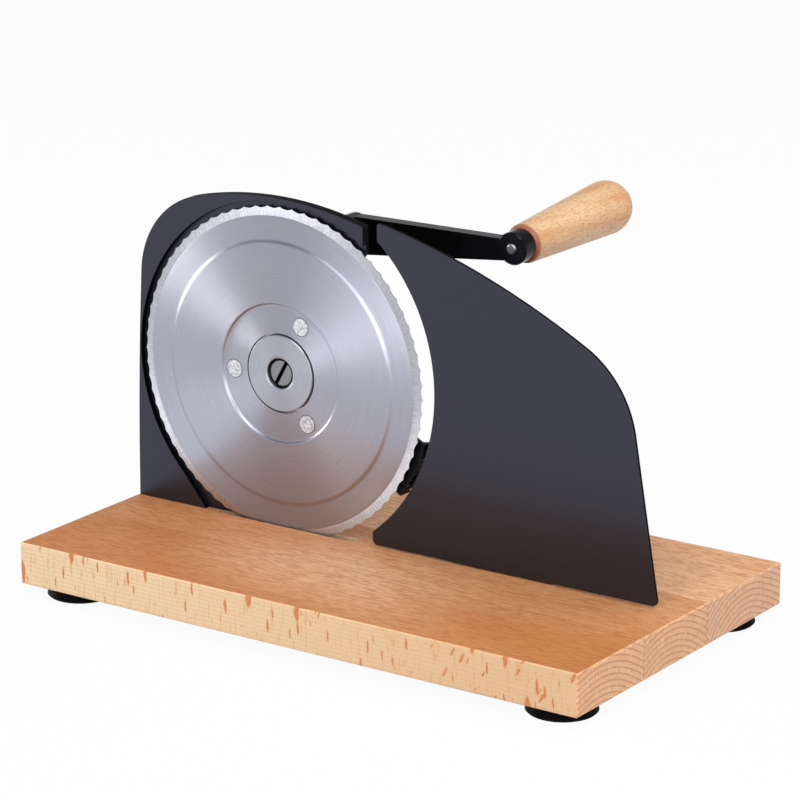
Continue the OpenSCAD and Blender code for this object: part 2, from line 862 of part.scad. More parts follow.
module blade_gear() {
    color(steel) at_axis() difference() {
        union() {
            slab(gear_front, gear_back) rotate(crank_lean) polygon(gear_outline(gear_teeth, tooth_module));
            rod(gear_hub_r, gear_back, gear_hub_back);
        }
        rod(disc_hole_r, gear_front - 1, disc_back + side_gap);
        rod(bush_r + fit_gap, gear_front - 1, gear_hub_back + 1);
        at_rivets() rod(rivet_r + fit_gap, gear_front - 1, gear_back + 1);
    }
}

module blade_bush() {
    color(brass) at_axis() difference() {
        rod(bush_r, disc_back + side_gap, gear_hub_back);
        rod(axle_r + run_gap, gear_front, gear_hub_back + 1);
    }
}

module blade_rivets() {
    color(steel) at_axis() at_rivets() rod(rivet_r, middle_d - rivet_proud, gear_back);
}

module crank_shaft() {
    color(steel) at_crank() difference() {
        rod(crank_shaft_r, pinion_front, arm_back);
        rod(thread_r, arm_back - arm_thread_l, arm_back + 1);
        pin_hole();
    }
}

// Cross hole for the pinion's pin
module pin_hole() {
    pin_d = (pinion_back + gear_hub_back) / 2;
    translate([0, pin_d, 0]) cylinder(r = small_screw_r + fit_gap, h = 3 * pinion_hub_r, center = true);
}

module crank_pinion() {
    color(steel) at_crank() difference() {
        union() {
            slab(pinion_front, pinion_back) rotate(crank_lean + 180 + 180 / pinion_teeth)
                polygon(gear_outline(pinion_teeth, tooth_module));
            rod(pinion_hub_r, pinion_back, gear_hub_back);
        }
        rod(crank_shaft_r + fit_gap, pinion_front - 1, gear_hub_back + 1);
        pin_hole();
    }
}

module pinion_pin() {
    pin_d = (pinion_back + gear_hub_back) / 2;
    color(steel) at_crank() translate([0, pin_d, 0])
        cylinder(r = small_screw_r, h = 2 * pinion_hub_r - 1, center = true);
}

module crank_bushes() {
    color(brass) at_crank() difference() {
        for (d = [case_front, crank_boss_back - crank_bush_l]) rod(crank_bush_r, d, d + crank_bush_l);
        rod(crank_shaft_r + run_gap, case_front - 1, crank_boss_back + 1);
    }
}

module crank_arm() {
    color(gloss_black) difference() {
        union() {
            along_arm() rod(arm_hub_r, arm_hub_front, arm_back);
            along_arm() slab(arm_front, arm_back)
                polygon([[0, -arm_root], [crank_r, -arm_end_low], [crank_r, arm_end_high], [0, arm_root]]);
            at_handle() turned() polygon([
                [0, handle_boss_front],
                [handle_boss_r - boss_edge, handle_boss_front],
                [handle_boss_r, handle_boss_front + boss_edge],
                [handle_boss_r, handle_boss_back - boss_edge],
                [handle_boss_r - boss_edge, handle_boss_back],
                [0, handle_boss_back]
            ]);
        }
        along_arm() rod(crank_shaft_r + fit_gap, arm_hub_front - 1, arm_back + 1);
        at_handle() rod(spindle_r + fit_gap, handle_boss_front - 1, handle_boss_back + 1);
    }
}

module arm_washer() {
    color(steel) at_crank() difference() {
        rod(arm_hub_r - 1.5, arm_back, arm_back + arm_washer_t);
        rod(screw_r + side_gap, arm_back - 1, arm_back + arm_washer_t + 1);
    }
}

module arm_screw() {
    head = arm_back + arm_washer_t;
    key_r = 2.9;
    color(steel) at_crank() {
        rod(screw_r, arm_back - arm_thread_l + 2, head);
        difference() {
            rod(screw_head_r + 1, head, head + screw_head_h);
            translate([0, head + drive_deep, 0]) rotate([-90, 0, 0])
                cylinder(r = key_r, h = screw_head_h, $fn = 6);
        }
    }
}

module handle_spindle() {
    color(steel) at_handle() difference() {
        union() {
            rod(spindle_r, handle_boss_front, spindle_back);
            turned() polygon([
                [0, handle_boss_front - 0.8],
                [spindle_r - 1, handle_boss_front - 0.6],
                [spindle_r, handle_boss_front],
                [0, handle_boss_front]
            ]);
        }
        rod(small_screw_r + fit_gap, spindle_back - spindle_thread_l, spindle_back + 1);
    }
}

module handle() {
    dome_from = handle_l - handle_dome;
    dome_end = acos(pocket_rim_r / handle_far_r);
    pocket_floor = handle_l - handle_pocket + side_gap;
    bore_r = spindle_r + run_gap;
    dome = [for (i = [0 : 14]) let(a = dome_end * i / 14)
        [handle_far_r * cos(a), dome_from + handle_dome * sin(a) / sin(dome_end)]];
    color(wood) at_handle() translate([0, handle_front, 0]) turned() polygon(concat(
        [[bore_r, 0], [handle_near_r - near_edge, 0]],
        [[handle_near_r - near_edge / 4, near_edge / 3], [handle_near_r, near_edge]],
        dome,
        [[pocket_r, handle_l], [pocket_r, pocket_floor], [bore_r, pocket_floor]]));
}

module handle_washer() {
    color(steel) at_handle() difference() {
        rod(pocket_r - 1, spindle_back + side_gap * 2, spindle_back + side_gap * 2 + handle_washer_t);
        rod(small_screw_r + side_gap, spindle_back, spindle_back + 2 * handle_washer_t);
    }
}

module handle_screw() {
    head = spindle_back + side_gap * 2 + handle_washer_t;
    head_h = 2;
    color(steel) at_handle() {
        rod(small_screw_r, spindle_back - spindle_thread_l + 2, head);
        difference() {
            rod(spindle_r, head, head + head_h);
            span(-spindle_r, spindle_r, head + head_h / 2, head + head_h + 1,
                -fine_drive_half, fine_drive_half);
        }
    }
}

// Outline of the fence plate, from its lower left corner up and round
function fence_outline() = let(
    low_left = [fence_low[0], fence_z],
    low_right = [fence_l, fence_z])
    concat(
        fillet(low_right, low_left, fence_low, fence_corner),
        arc(fence_low, fence_high, fence_edge_r, -1, 48),
        fillet(fence_high, fence_tip, fence_brow, fence_corner / 2),
        [for (p = arc(fence_tip, fence_brow, fence_top_r)) if (p[0] > fence_tip[0] + fence_corner) p],
        arc(fence_brow, fence_knee, brow_r),
        fillet(fence_knee, low_right, low_left, fence_corner));

module fence_plate() {
    color(black) {
        at_axis() slab(0, fence_t) polygon(fence_outline());
        at_slide() for (s = carriage_studs) translate([s[0], 0, s[1]])
            rod(stud_r, fence_t, carriage_back + nut_h + 1);
        at_axis() for (s = rest_studs) translate([s[0], 0, s[1]])
            rod(stud_r, fence_t, rest_back + nut_h + 1);
    }
}

module fence_carriage() {
    color(black) at_slide() difference() {
        union() {
            span(-slide_w / 2, slide_w / 2, fence_t, carriage_back, fence_lift, carriage_h);
            for (x = [-rod_gap / 2, rod_gap / 2]) translate([x, 0, rod_h])
                rod(rod_boss_r, carriage_back, carriage_back + rod_boss_l);
        }
        for (x = [-rod_gap / 2, rod_gap / 2]) translate([x, 0, rod_h])
            rod(rod_r + fit_gap, fence_t - 1, carriage_back + rod_boss_l + 1);
        for (s = carriage_studs) translate([s[0], 0, s[1]])
            rod(stud_r + fit_gap, fence_t - 1, carriage_back + 1);
        span(rack_root - rack_stem - fit_gap, rack_root + fit_gap, fence_t - 1, carriage_back + 1,
            rack_z - fit_gap, rack_z + rack_h + fit_gap);
    }
}

module fence_nuts() {
    color(steel) {
        at_slide() for (s = carriage_studs) translate([s[0], 0, s[1]])
            hex_nut(nut_r, stud_r + fit_gap, carriage_back, carriage_back + nut_h);
        at_axis() for (s = rest_studs) translate([s[0], 0, s[1]])
            hex_nut(nut_r, stud_r + fit_gap, rest_back, rest_back + nut_h);
    }
}

module guide_rods() {
    color(steel) at_slide() for (x = [-rod_gap / 2, rod_gap / 2]) translate([x, 0, rod_h])
        rod(rod_r, fence_t, rod_back);
}

// Bar with a row of teeth towards the knob's pinion, one of them level with its middle at rest
module rack() {
    pitch = PI * rack_module;
    half = pitch / 4 - tooth_play / 2;
    foot_half = half + 1.25 * rack_module * tan(20);
    tip_half = half - rack_module * tan(20);
    tip = pitch_line + rack_module;
    first = -ceil((fence_travel + 6) / pitch);
    color(steel) at_slide() translate([0, 0, rack_z]) linear_extrude(height = rack_h) {
        polygon([
            [rack_root - rack_stem, fence_t], [rack_root, fence_t],
            [rack_root, rack_back], [rack_root - rack_stem, rack_back]
        ]);
        for (i = [first : 1]) translate([0, knob_y + i * pitch]) polygon([
            [rack_root - 0.5, -foot_half], [rack_root, -foot_half], [tip, -tip_half],
            [tip, tip_half], [rack_root, foot_half], [rack_root - 0.5, foot_half]
        ]);
    }
}

// Front view of the slice rest's curved block with its grip ribs
module rest_block(high) {
    far = 2 * rest_r;
    top = (rest_r - rest_w / 2) * [cos(high), sin(high)];
    slope = 4 * rest_w * [cos(rest_slope), sin(rest_slope)];
    intersection() {
        difference() {
            circle(r = rest_r);
            circle(r = rest_r - rest_w);
        }
        polygon([[0, 0], far * [cos(rest_low), sin(rest_low)], top + slope, top - slope]);
    }
    for (i = [0 : rest_ribs - 1]) {
        a = rest_low + (rest_high - rest_step - rest_low) * (i + 0.5) / rest_ribs;
        translate(rest_r * [cos(a), sin(a)]) circle(r = rib_r);
    }
}

module slice_rest() {
    roots = [for (a = [rest_high - 5, rest_low + 5]) (rest_r - rest_w / 2) * [cos(a), sin(a)]];
    color(black) at_axis() difference() {
        union() {
            slab(rest_front, rest_front + rest_plate) rest_block(rest_high);
            slab(rest_front, rest_back) rest_block(rest_high - rest_step);
            slab(rest_back - rest_web, rest_back)
                for (i = [0, 1]) link(roots[i], rest_studs[i], rest_w / 2 - 1.5, rest_boss_r - 1);
            for (s = rest_studs) translate([s[0], 0, s[1]]) rod(rest_boss_r, fence_t, rest_back);
        }
        for (s = rest_studs) translate([s[0], 0, s[1]])
            rod(stud_r + fit_gap, fence_t - 1, rest_back + 1);
    }
}

module slide_block() {
    channel = rack_root - rack_stem - side_gap;
    color(black) difference() {
        at_slide() difference() {
            span(-slide_w / 2, slide_w / 2, slide_front, slide_back, 0, slide_h);
            for (x = [-rod_gap / 2, rod_gap / 2]) translate([x, 0, rod_h])
                rod(rod_bush_r + fit_gap, slide_front - 1, slide_back + 1);
            span(channel, pitch_line + rack_module + side_gap, slide_front - 1, slide_back + 1,
                rack_z - side_gap, slide_h + 1);
            translate([knob_x, knob_y, 0])
                post(knob_pitch_r + rack_module + 2 * side_gap, rack_z - side_gap, slide_h + 1);
            translate([knob_x, knob_y, 0]) post(knob_shaft_r + run_gap, knob_shaft_low - 1, slide_h);
            at_cover_screws() post(small_screw_r + fit_gap, slide_h - cover_thread_l, slide_h + 1);
        }
        at_slide_screws() post(thread_r, board_t - 1, board_t + slide_thread_l);
    }
}

// Corners of the slide's cover
module at_cover_screws() {
    side = slide_w / 2 - cover_screw_in;
    for (x = [-side, side], y = [slide_front + cover_screw_in, slide_back - cover_screw_in])
        translate([x, y, 0]) children();
}

module rod_bushes() {
    starts = [slide_front, slide_back - rod_bush_l];
    color(brass) at_slide() for (x = [-rod_gap / 2, rod_gap / 2], d = starts)
        translate([x, 0, rod_h]) difference() {
            rod(rod_bush_r, d, d + rod_bush_l);
            rod(rod_r + run_gap, d - 1, d + rod_bush_l + 1);
        }
}

module slide_screws() {
    color(steel) at_slide_screws() translate([0, 0, head_pocket])
        upright_screw(screw_r, screw_head_r, screw_head_h, board_t - head_pocket + slide_thread_l - 2);
}

module slide_cover() {
    color(black) at_slide() difference() {
        span(-slide_w / 2, slide_w / 2, slide_front, slide_back, cover_z, cover_z + cover_t);
        translate([knob_x, knob_y, 0]) post(knob_shaft_r + run_gap, cover_z - 1, cover_z + cover_t + 1);
        at_cover_screws() post(small_screw_r + fit_gap, cover_z - 1, cover_z + cover_t + 1);
    }
}

module cover_screws() {
    top = cover_z + cover_t;
    head_r = small_screw_r * 2;
    color(steel) at_slide() at_cover_screws() {
        post(small_screw_r, slide_h - cover_thread_l + 2, top);
        difference() {
            post(head_r, top, top + cover_head_h);
            span(-head_r, head_r, -fine_drive_half, fine_drive_half,
                top + cover_head_h / 2, top + cover_head_h + 1);
        }
    }
}

module thickness_knob() {
    color(black) at_knob() difference() {
        translate([0, 0, knob_z]) rotate_extrude() polygon([
            [0, 0], [knob_r - 1, 0], [knob_r, 1], [knob_r, knob_h - 3],
            [knob_r - 2, knob_h], [knob_dish_r, knob_h],
            [knob_dish_r, knob_h - knob_dish], [0, knob_h - knob_dish]
        ]);
        post(knob_shaft_r + fit_gap, knob_z - 1, knob_shaft_top);
        post(small_screw_r + fit_gap, knob_z, knob_z + knob_h);
        for (i = [0 : knob_flutes - 1]) rotate(i * 360 / knob_flutes)
            translate([knob_r + flute_out, 0, 0])
                post(flute_r, knob_z + flute_low, knob_z + knob_h - flute_high);
    }
}

module knob_shaft() {
    color(steel) at_knob() difference() {
        post(knob_shaft_r, knob_shaft_low, knob_shaft_top);
        post(small_screw_r + fit_gap, knob_shaft_top - knob_thread_l, knob_shaft_top + 1);
    }
}

module knob_pinion() {
    color(steel) at_knob() difference() {
        translate([0, 0, rack_z]) linear_extrude(height = rack_h)
            rotate(180 + 180 / knob_teeth) polygon(gear_outline(knob_teeth, rack_module));
        post(knob_shaft_r + fit_gap, rack_z - 1, rack_z + rack_h + 1);
    }
}

module knob_screw() {
    seat = knob_z + knob_h - knob_dish;
    top = seat + cover_head_h;
    color(steel) at_knob() {
        post(small_screw_r, knob_shaft_top - knob_thread_l + 2, seat);
        difference() {
            post(knob_head_r, seat, top);
            span(-knob_head_r, knob_head_r, -fine_drive_half, fine_drive_half,
                seat + cover_head_h / 2, top + 1);
        }
    }
}

board();
foot_at(0);  // foot_front_left
foot_at(1);  // foot_back_left
foot_at(2);  // foot_front_right
foot_at(3);  // foot_back_right
foot_screws();
frame_plate();
gear_case();
case_screws();
flange_screws();
axle();
axle_nut();
retaining_disc();
axle_screw();
blade();
blade_gear();
blade_bush();
blade_rivets();
crank_shaft();
crank_pinion();
pinion_pin();
crank_bushes();
crank_arm();
arm_washer();
arm_screw();
handle_spindle();
handle();
handle_washer();
handle_screw();
fence_plate();
fence_carriage();
fence_nuts();
guide_rods();
rack();
slice_rest();
slide_block();
rod_bushes();
slide_screws();
slide_cover();
cover_screws();
thickness_knob();
knob_shaft();
knob_pinion();
knob_screw();
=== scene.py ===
import json
import math

import bmesh
import bpy
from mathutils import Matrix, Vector


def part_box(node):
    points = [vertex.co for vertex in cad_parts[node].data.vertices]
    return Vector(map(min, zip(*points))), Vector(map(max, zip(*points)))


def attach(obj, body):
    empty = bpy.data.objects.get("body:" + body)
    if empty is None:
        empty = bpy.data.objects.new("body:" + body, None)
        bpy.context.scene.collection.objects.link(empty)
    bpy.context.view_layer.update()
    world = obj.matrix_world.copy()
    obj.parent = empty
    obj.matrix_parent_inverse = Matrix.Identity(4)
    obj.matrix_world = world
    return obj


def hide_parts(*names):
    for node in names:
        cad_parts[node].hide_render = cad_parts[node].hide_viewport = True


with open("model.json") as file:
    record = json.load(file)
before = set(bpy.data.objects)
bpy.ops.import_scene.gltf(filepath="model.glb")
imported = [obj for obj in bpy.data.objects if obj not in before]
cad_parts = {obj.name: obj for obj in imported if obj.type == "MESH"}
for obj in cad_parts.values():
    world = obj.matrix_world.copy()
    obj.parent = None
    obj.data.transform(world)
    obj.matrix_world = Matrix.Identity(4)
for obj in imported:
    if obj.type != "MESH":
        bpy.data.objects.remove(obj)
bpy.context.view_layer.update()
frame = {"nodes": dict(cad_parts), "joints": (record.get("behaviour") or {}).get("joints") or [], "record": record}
scene = bpy.context.scene
nodes = frame["nodes"]
body_of_node = {n: b for b, ns in frame["record"]["behaviour"]["bodies"].items() for n in ns}
slot_of_node = {s["node"]: s["material_slot"] for s in frame["record"]["subparts"]}
joints = {j["name"]: j for j in frame["joints"]}
blade_axis = Vector(joints["blade_spin"]["pos_m"])
handle_axis = Vector(joints["handle_spin"]["pos_m"])
handle_way = Vector(joints["handle_spin"]["axis"])
handle_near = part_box("handle")[0].y - handle_axis.y
board_low, board_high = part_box("board")
blade_low, blade_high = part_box("blade")
blade_radius = (blade_high.x - blade_low.x) / 2
band_start = blade_radius - 0.0055
raised_outer, raised_inner, step_run = 0.076, 0.0405, 0.0015
raised_front, middle_back, sheet = 0.0008, 0.0004, 0.0015
blade_hole, band_drop = 0.023, 0.0009
scallops, scallop_depth = 72, 0.001
recess_radius, screw_radius, slot_turn, slot_half = 0.0087, 0.0075, math.radians(61), 0.0011
rivet_radius, rivet_circle, rivets, rivet_turn = 0.005, 0.032, 3, math.radians(64)
rivet_angles = [rivet_turn + i * math.tau / rivets for i in range(rivets)]
rivet_spots = [(rivet_circle * math.cos(a), 0.0, rivet_circle * math.sin(a)) for a in rivet_angles]


# Node graphs

def material(name):
    made = bpy.data.materials.new(name)
    made.use_nodes = True
    return made, made.node_tree, made.node_tree.nodes["Principled BSDF"]


def feed(tree, target, value):
    if isinstance(value, bpy.types.NodeSocket):
        tree.links.new(value, target)
    else:
        target.default_value = value


def add(tree, kind, *values, **settings):
    made = tree.nodes.new("ShaderNode" + kind)
    for key, value in settings.items():
        setattr(made, key, value)
    for target, value in zip(made.inputs, values):
        if value is not None:
            feed(tree, target, value)
    return made


def math_node(tree, operation, *values, clamp=False):
    return add(tree, "Math", *values, operation=operation, use_clamp=clamp).outputs[0]


def vector_node(tree, operation, *values):
    made = add(tree, "VectorMath", *values, operation=operation)
    return made.outputs["Value"] if operation in ("LENGTH", "DOT_PRODUCT") else made.outputs["Vector"]


def step(tree, value, low, high, start=0.0, end=1.0):
    made = add(tree, "MapRange", value, low, high, start, end, interpolation_type="SMOOTHSTEP")
    return made.outputs["Result"]


def mix(tree, factor, a, b, blend="MIX"):
    made = add(tree, "MixRGB", factor, a, b, blend_type=blend)
    return made.outputs[0]


def noise(tree, vector, scale=1.0, detail=2.0, rough=0.5, distortion=0.0):
    made = tree.nodes.new("ShaderNodeTexNoise")
    feed(tree, made.inputs["Vector"], vector)
    feed(tree, made.inputs["Scale"], scale)
    feed(tree, made.inputs["Detail"], detail)
    feed(tree, made.inputs["Roughness"], rough)
    feed(tree, made.inputs["Distortion"], distortion)
    return made.outputs[0]


def bump(tree, shader, height, distance, strength=1.0):
    made = tree.nodes.new("ShaderNodeBump")
    feed(tree, made.inputs["Height"], height)
    feed(tree, made.inputs["Distance"], distance)
    feed(tree, made.inputs["Strength"], strength)
    tree.links.new(made.outputs[0], shader.inputs["Normal"])


def place(tree):
    return add(tree, "TexCoord").outputs["Object"]


def scaled(tree, vector, x, y, z):
    return vector_node(tree, "MULTIPLY", vector, (x, y, z))


def srgb(r, g, b):
    def linear(c):
        c /= 255
        return c / 12.92 if c <= 0.04045 else ((c + 0.055) / 1.055) ** 2.4
    return (linear(r), linear(g), linear(b), 1.0)


def shade(color, share):
    """A colour made lighter or darker."""
    return [min(1, c * share) for c in color] + [1]


# Materials

def paint(name, color, rough, grain=0.00035, depth=0.00002, specular=0.5, coat=0.0):
    made, tree, shader = material(name)
    at = place(tree)
    fine = noise(tree, at, 1 / grain, 2, 0.6)
    broad = noise(tree, at, 18, 3, 0.5)
    tone = mix(tree, broad, shade(color, 0.86), shade(color, 1.14))
    feed(tree, shader.inputs["Base Color"], tone)
    feed(tree, shader.inputs["Roughness"], step(tree, fine, 0.3, 0.7, rough - 0.04, rough + 0.04))
    shader.inputs["Specular IOR Level"].default_value = specular
    shader.inputs["Specular Tint"].default_value = (0.74, 0.77, 1.0, 1.0)
    shader.inputs["Coat Weight"].default_value = coat
    shader.inputs["Coat Roughness"].default_value = 0.12
    bump(tree, shader, fine, depth, 0.4)
    return made


def metal(name, color, rough, scale=(600, 600, 600), spread=0.08, depth=0.00001):
    made, tree, shader = material(name)
    at = place(tree)
    fine = noise(tree, scaled(tree, at, *scale), 1, 3, 0.6)
    tone = mix(tree, fine, shade(color, 1 - spread), shade(color, 1 + spread))
    feed(tree, shader.inputs["Base Color"], tone)
    shader.inputs["Metallic"].default_value = 1.0
    feed(tree, shader.inputs["Roughness"], step(tree, fine, 0.2, 0.8, rough - 0.06, rough + 0.08))
    bump(tree, shader, fine, depth, 0.6)
    return made


def around_axis(tree):
    """Place from the blade's axis, with its radius and its angle."""
    at = vector_node(tree, "SUBTRACT", place(tree), tuple(blade_axis))
    split = add(tree, "SeparateXYZ", at)
    radius = vector_node(tree, "LENGTH", scaled(tree, at, 1, 0, 1))
    return at, radius, math_node(tree, "ARCTAN2", split.outputs[2], split.outputs[0])


def polar_noise(tree, radius, per_radius, angle, per_angle, detail):
    spread = math_node(tree, "MULTIPLY", radius, per_radius)
    place_at = add(tree, "CombineXYZ", spread, math_node(tree, "MULTIPLY", angle, per_angle), 0.0)
    return noise(tree, place_at.outputs[0], 1, detail, 0.7)


def brushed(tree, shader, tone, roughness, aniso, turn):
    """Metal whose reflections stretch across its brush lines; turn 0.25 is for lines in circles."""
    feed(tree, shader.inputs["Base Color"], tone)
    feed(tree, shader.inputs["Roughness"], roughness)
    shader.inputs["Metallic"].default_value = 1.0
    shader.inputs["Anisotropic"].default_value = aniso
    shader.inputs["Anisotropic Rotation"].default_value = turn
    tangent = add(tree, "Tangent", direction_type="RADIAL", axis="Y")
    tree.links.new(tangent.outputs[0], shader.inputs["Tangent"])


def turned_steel(name, color, rough, aniso, dish=0.0, spots=(), painted_shade_radius=0.0):
    """Steel that is brushed in circles about the blade's axis and pressed to a faint dish."""
    made, tree, shader = material(name)
    at, radius, angle = around_axis(tree)
    lines = polar_noise(tree, radius, 1500.0, angle, 1.6, 4)
    cloud = noise(tree, at, 26, 3, 0.6)
    tone = mix(tree, lines, shade(color, 0.74), shade(color, 1.26))
    tone = mix(tree, math_node(tree, "MULTIPLY", cloud, 0.2), tone, shade(color, 1.15))
    # Painted shade: a dark ring round each rivet, where the rivet meets the blade
    for spot in spots:
        off = vector_node(tree, "LENGTH", scaled(tree, vector_node(tree, "SUBTRACT", at, spot), 1, 0, 1))
        rivet_shade = step(tree, off, rivet_radius + 0.0002, rivet_radius + 0.0007, 0.75, 0.0)
        tone = mix(tree, rivet_shade, tone, srgb(60, 62, 68))
    # Painted shade: inside this radius the steel is made near-black, standing in for the shadow in the screw's
    # recess
    if painted_shade_radius:
        tone = mix(tree, step(tree, radius, painted_shade_radius, painted_shade_radius + 0.0003, 0.92, 0.0), tone, srgb(20, 20, 22))
    brushed(tree, shader, tone, step(tree, lines, 0.25, 0.75, rough - 0.04, rough + 0.05), aniso, 0.25)
    scratch = math_node(tree, "MULTIPLY", lines, 0.000008)
    bump(tree, shader, math_node(tree, "MULTIPLY_ADD", radius, -dish, scratch), 1.0)
    return made


def hammered_steel(name):
    """Rivet heads: pale, with small dents."""
    made, tree, shader = material(name)
    dents = noise(tree, place(tree), 750, 2, 0.65)
    tone = mix(tree, step(tree, dents, 0.36, 0.60), srgb(176, 178, 186), srgb(228, 229, 234))
    feed(tree, shader.inputs["Base Color"], tone)
    shader.inputs["Metallic"].default_value = 1.0
    feed(tree, shader.inputs["Roughness"], step(tree, dents, 0.3, 0.7, 0.46, 0.36))
    bump(tree, shader, math_node(tree, "MULTIPLY", dents, 0.00012), 1.0)
    return made


def slotted_steel(name):
    """The screw in the blade's middle: dull steel, with its slot and the rim of its head painted near-black as
    shade.
    """
    made, tree, shader = material(name)
    at, radius, angle = around_axis(tree)
    # Painted shade: the slot is coloured near-black
    across = vector_node(tree, "DOT_PRODUCT", at, (-math.sin(slot_turn), 0.0, math.cos(slot_turn)))
    slot_shade = step(tree, math_node(tree, "ABSOLUTE", across), slot_half, slot_half + 0.0002, 1.0, 0.0)
    fine = noise(tree, at, 700, 3, 0.6)
    tone = mix(tree, fine, (0.20, 0.205, 0.22, 1), (0.34, 0.345, 0.37, 1))
    tone = mix(tree, slot_shade, tone, (0.004, 0.004, 0.004, 1))
    # Painted shade: a dark ring at the edge of the head, where it meets the recess wall
    rim_shade = step(tree, radius, screw_radius - 0.0007, screw_radius - 0.0001)
    tone = mix(tree, rim_shade, tone, (0.02, 0.02, 0.02, 1))
    feed(tree, shader.inputs["Base Color"], tone)
    shader.inputs["Metallic"].default_value = 1.0
    feed(tree, shader.inputs["Roughness"], step(tree, fine, 0.2, 0.8, 0.30, 0.44))
    bump(tree, shader, fine, 0.00001, 0.6)
    return made


def ground_steel(name):
    """The blade's ground band: pale, with short lines that point to the axis."""
    made, tree, shader = material(name)
    at, radius, angle = around_axis(tree)
    rays = polar_noise(tree, radius, 160.0, angle, 240.0, 2)
    tone = mix(tree, step(tree, rays, 0.30, 0.70), srgb(172, 175, 185), srgb(212, 214, 222))
    brushed(tree, shader, tone, step(tree, rays, 0.3, 0.7, 0.40, 0.48), 0.8, 0.0)
    bump(tree, shader, math_node(tree, "MULTIPLY", rays, 0.000004), 1.0)
    return made


